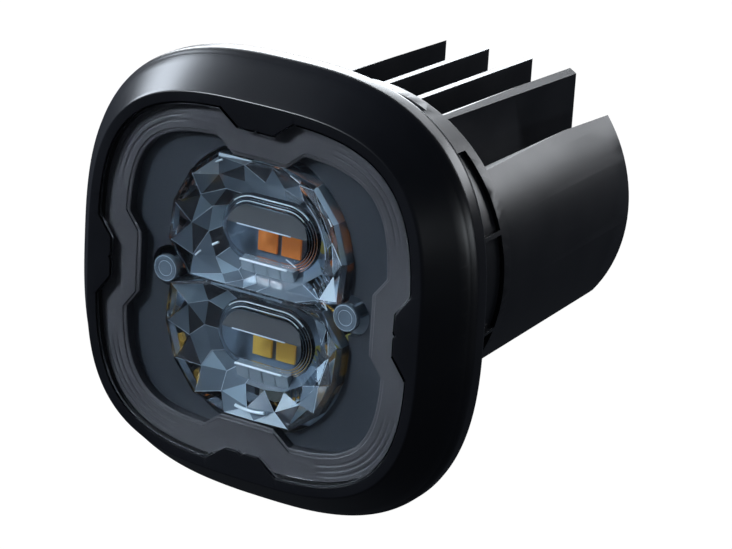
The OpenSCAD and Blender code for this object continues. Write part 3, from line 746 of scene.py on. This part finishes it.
def make_block(side, name):
    """Stepped clear block under each oblong lens, with upright grooves, coloured an opaque pale
    blue-grey as painted light, with rods of painted highlight along its top and foot.
    """
    x = np.linspace(-4.8 * MM, 5.4 * MM, 69)
    groove = np.where(np.abs(((x / MM + 4.8) % 2.55) - 1.27) > 1.17, 0.14 * MM, 0.0)
    top_z = side * BAR_Z - 4.9 * MM
    base_z = top_z - 3.1 * MM
    front = FLOOR - 1.9 * MM
    rows = [(top_z, FLOOR - 0.06 * MM), (top_z, front + 0.2 * MM), (top_z - 0.15 * MM, front),
            (base_z + 0.15 * MM, front + 0.9 * MM), (base_z, front + 1.1 * MM),
            (base_z, FLOOR - 0.06 * MM)]
    points = np.concatenate([np.stack([x, np.full_like(x, y) + groove * (1 if 0 < k < 5 else 0),
                                       np.full_like(x, z)], axis=1)
                             for k, (z, y) in enumerate(rows)])
    mesh = mesh_from(name, points, bar_faces(len(rows), len(x)), 20.0)
    give(new_object(name, mesh), optic_block_light_paint)
    wire(name + "_top", [(-4.7 * MM, front - 0.02 * MM, top_z - 0.1 * MM),
                         (4.2 * MM, front - 0.02 * MM, top_z - 0.1 * MM)], 0.22 * MM, lit_edge)
    wire(name + "_foot", [(-4.4 * MM, front + 1.0 * MM, base_z),
                          (3.2 * MM, front + 1.0 * MM, base_z)], 0.1 * MM)


def make_flutes(side, name):
    """Fan of fine round flutes at the lower right of a bowl, between two arcs."""
    flutes = 11
    a = np.radians(np.linspace(-58, -8, 161))
    wave = 0.16 * MM * np.abs(np.sin(np.linspace(0, flutes * math.pi, 161)))
    rows = [(9.9 * MM, FLOOR - 0.06 * MM), (9.9 * MM, FLOOR - 0.9 * MM),
            (12.0 * MM, FLOOR - 2.1 * MM), (13.2 * MM, FLOOR - 3.0 * MM),
            (13.3 * MM, FLOOR - 2.0 * MM)]
    cut = (BOWL_Z - 0.7 * MM) / -np.sin(a) if side > 0 else np.full_like(a, OPTIC_FLAT)
    points = []
    for k, (r, y) in enumerate(rows):
        radius = np.minimum(r, cut)
        rise = wave * (0 < k < 4)
        points.append(np.stack([radius * np.cos(a), y - rise,
                                side * BOWL_Z + radius * np.sin(a)], axis=1))
    mesh = mesh_from(name, np.concatenate(points), bar_faces(len(rows), len(a)), 40.0)
    give(new_object(name, mesh), optic_clear)


def make_optic():
    for side, name in ((1, "optic_upper"), (-1, "optic_lower")):
        make_bowl(side, name + "_bowl")
        make_bar(side, name + "_bar")
        make_block(side, name + "_block")
        make_flutes(side, name + "_flutes")
        z = side * BOWL_Z
        # The arcs, glints and the lower sliver are rods of painted highlight on the clear optic.
        wire(name + "_arc", arc_path(z, 13.3 * MM, -4, 44, FLOOR - 2.3 * MM), 0.12 * MM)
        wire(name + "_inner_arc", arc_path(z, 11.0 * MM, 2, 50, FLOOR - 1.5 * MM), 0.1 * MM)
        for low, high, radius, weight in ((118, 123, 15.4, 0.2), (133, 138, 15.6, 0.16),
                                          (60, 68, 14.8, 0.12), (28, 33, 15.4, 0.14)):
            wire(name + "_glint", arc_path(z, radius * MM, low, high, FRONT + 0.5 * MM, count=8),
                 weight * MM, lit_edge)
    wire("optic_lower_sliver", arc_path(-BOWL_Z, 13.4 * MM, 258, 282, FRONT + 0.7 * MM),
         0.3 * MM, lit_edge)


def make_pins():
    """Clear round pin heads in a painted pale reflection: a low dome with a bevelled edge and two fine
    rings of painted highlight, over a stem.
    """
    t = np.arange(96) * TAU / 96
    for side, name in ((-1, "optic_pin_left"), (1, "optic_pin_right")):
        top = PINS_LOW[1]
        profile = [(0.25 * PIN_R, top + 0.22 * MM), (0.62 * PIN_R, top + 0.16 * MM),
                   (0.66 * PIN_R, top + 0.06 * MM), (0.86 * PIN_R, top + 0.04 * MM),
                   (0.97 * PIN_R, top + 0.2 * MM), (PIN_R, top + 0.5 * MM),
                   (PIN_R, top + 1.0 * MM), (0.54 * PIN_R, top + 1.0 * MM),
                   (0.54 * PIN_R, PINS_HIGH[1])]
        piece = new_object(name, lathe(name, t, profile, centre_x=side * PIN_X))
        # The clear pin heads take the painted pale reflection of the facets.
        give(piece, optic_painted_reflection)
        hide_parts("optic_pins")
        x = side * PIN_X
        wire(name + "_rim", arc_path(0, 0.9 * PIN_R, 0, 360, top + 0.1 * MM, x), 0.05 * MM)
        wire(name + "_ring", arc_path(0, 0.55 * PIN_R, 0, 360, top + 0.14 * MM, x), 0.04 * MM)


# ---------------------------------------------------------------- heat sink

def make_heat_sink():
    """The casting as designed, with its flat faces merged and its edges softly broken."""
    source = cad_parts["heat_sink"]
    mesh = source.data.copy()
    mesh.name = "heat_sink_casting"
    work = bmesh.new()
    work.from_mesh(mesh)
    bmesh.ops.remove_doubles(work, verts=work.verts, dist=2e-6)
    bmesh.ops.dissolve_limit(work, angle_limit=math.radians(0.15), verts=work.verts,
                             edges=work.edges)
    work.to_mesh(mesh)
    work.free()
    piece = new_object("heat_sink_casting", mesh)
    soften = piece.modifiers.new("soft_edges", "BEVEL")
    soften.width = 0.22 * MM
    soften.segments = 2
    soften.limit_method = "ANGLE"
    soften.angle_limit = math.radians(40)
    soften.harden_normals = True
    mesh.shade_smooth()
    mesh.set_sharp_from_angle(angle=math.radians(28))
    give(piece, cast_black)
    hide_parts("heat_sink")


make_bezel()
make_lens()
make_trim()
make_optic()
make_pins()
make_heat_sink()

NODE_FINISH = {
    "lens_seal": seal_black, "optic_tray": tray_blue, "led_board": board_pale,
    "amber_leds": amber, "yellow_leds": yellow, "marker_leds": olive,
    "led_socket": socket_white, "thermal_pad": pad_grey, "heat_spreader": plate_metal,
    "spreader_screws": screw_metal, "driver_board": board_green, "driver_coil": copper,
    "driver_capacitors": sleeve_blue, "driver_chips": chip_black, "driver_screws": screw_metal,
    "link_wires": wire_red, "lead_wires": wire_black, "gland_body": nylon_black,
    "gland_seal": seal_black, "gland_bush": bush_black, "gland_nut": nylon_black,
    "vent_plug": nylon_black, "vent_membrane": membrane, "bezel_screws": screw_metal,
    "panel_gasket": foam_black}
for node_name, finish in NODE_FINISH.items():
    give(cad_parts[node_name], finish)


# ---------------------------------------------------------------- stage, lights, camera

def make_floor():
    """Pale floor that the camera sees as bright paper, and that stays out of reflections."""
    size = 6.0
    mesh = bpy.data.meshes.new("floor")
    low = BEZEL_LOW[2]
    mesh.from_pydata([(-size, -size, low), (size, -size, low), (size, size, low),
                      (-size, size, low)], [], [(0, 1, 2, 3)])
    floor = bpy.data.objects.new("floor", mesh)
    bpy.context.scene.collection.objects.link(floor)
    material, shader = bare_material("paper")
    nodes, links = material.node_tree.nodes, material.node_tree.links
    shader.inputs["Base Color"].default_value = (0.02, 0.02, 0.02, 1)
    shader.inputs["Roughness"].default_value = 0.9
    shader.inputs["Specular IOR Level"].default_value = 0.0
    shader.inputs["Emission Color"].default_value = (1, 1, 1, 1)
    path = nodes.new("ShaderNodeLightPath")
    bright = nodes.new("ShaderNodeMath")
    bright.operation = "MULTIPLY"
    bright.inputs[1].default_value = 1.0
    links.new(path.outputs["Is Camera Ray"], bright.inputs[0])
    links.new(bright.outputs[0], shader.inputs["Emission Strength"])
    floor.data.materials.append(material)
    floor.visible_glossy = False
    floor.visible_transmission = False


def make_world():
    """White to the eye, dim and slightly blue for reflections."""
    world = bpy.data.worlds.new("studio")
    bpy.context.scene.world = world
    world.use_nodes = True
    nodes, links = world.node_tree.nodes, world.node_tree.links
    back = nodes["Background"]
    back.inputs["Color"].default_value = (0.105, 0.12, 0.15, 1)
    back.inputs["Strength"].default_value = 0.22
    seen = nodes.new("ShaderNodeBackground")
    seen.inputs["Color"].default_value = (1, 1, 1, 1)
    path = nodes.new("ShaderNodeLightPath")
    mix = nodes.new("ShaderNodeMixShader")
    links.new(path.outputs["Is Camera Ray"], mix.inputs["Fac"])
    links.new(back.outputs["Background"], mix.inputs[1])
    links.new(seen.outputs["Background"], mix.inputs[2])
    links.new(mix.outputs["Shader"], nodes["World Output"].inputs["Surface"])


def aim(position, target, roll=0.0):
    """Matrix that looks from a position at a target, with +Z as up, then rolls."""
    forward = (np.array(target) - np.array(position))
    forward = forward / np.linalg.norm(forward)
    right = np.cross(forward, (0, 0, 1.0))
    right = right / np.linalg.norm(right)
    up = np.cross(right, forward)
    c, s = math.cos(roll), math.sin(roll)
    right, up = right * c + up * s, up * c - right * s
    m = Matrix.Identity(4)
    for k in range(3):
        m[k][0], m[k][1], m[k][2], m[k][3] = right[k], up[k], -forward[k], position[k]
    return m


def softbox(name, position, width, height, power, colour=(0.9, 0.95, 1.0)):
    light = bpy.data.lights.new(name, "AREA")
    light.shape = "RECTANGLE"
    light.size = width
    light.size_y = height
    light.energy = power
    light.color = colour
    lamp = bpy.data.objects.new(name, light)
    lamp.matrix_world = aim(position, (0, 0.01, 0))
    bpy.context.scene.collection.objects.link(lamp)


def make_lights():
    softbox("left_card", (-0.93, -0.03, 0.53), 0.5, 0.45, 10.5, (0.82, 0.9, 1.0))
    softbox("back_left", (-0.75, 1.15, 0.5), 1.1, 0.55, 22.0, (0.9, 0.95, 1.0))
    softbox("back_right", (0.5, 1.0, 0.42), 0.5, 0.4, 4.0, (0.92, 0.95, 1.0))
    softbox("front_left", (-0.75, -0.95, 0.6), 0.16, 0.16, 12.0, (0.85, 0.93, 1.0))
    softbox("back_top", (0.1, 1.0, 0.7), 0.4, 0.3, 1.6, (0.92, 0.95, 1.0))
    softbox("right_fill", (1.1, 0.1, 0.1), 0.6, 0.2, 1.5, (0.88, 0.94, 1.0))


def make_camera():
    """Long lens from the front right and above, at the angle of the product view."""
    azimuth = math.radians(31.06)
    elevation = math.radians(19.82)
    roll = math.radians(3.53)
    distance = 0.5038
    aim_right, aim_up = 0.0186, 0.0033
    toward = np.array([math.sin(azimuth) * math.cos(elevation),
                       -math.cos(azimuth) * math.cos(elevation), math.sin(elevation)])
    right = np.array([math.cos(azimuth), math.sin(azimuth), 0.0])
    up = np.cross(toward, right)
    right, up = (right * math.cos(roll) + up * math.sin(roll),
                 up * math.cos(roll) - right * math.sin(roll))
    centre = np.array([0, LENS_Y, 0])
    place = centre + toward * distance + right * aim_right + up * aim_up
    data = bpy.data.cameras.new("camera")
    data.sensor_width = 36
    data.lens = 157.4
    data.clip_start = 0.01
    data.clip_end = 50
    camera = bpy.data.objects.new("camera", data)
    m = Matrix.Identity(4)
    for k in range(3):
        m[k][0], m[k][1], m[k][2], m[k][3] = right[k], up[k], toward[k], place[k]
    camera.matrix_world = m
    bpy.context.scene.collection.objects.link(camera)
    bpy.context.scene.camera = camera


make_floor()
make_world()
make_lights()
make_camera()
bpy.context.scene.view_settings.view_transform = "Standard"
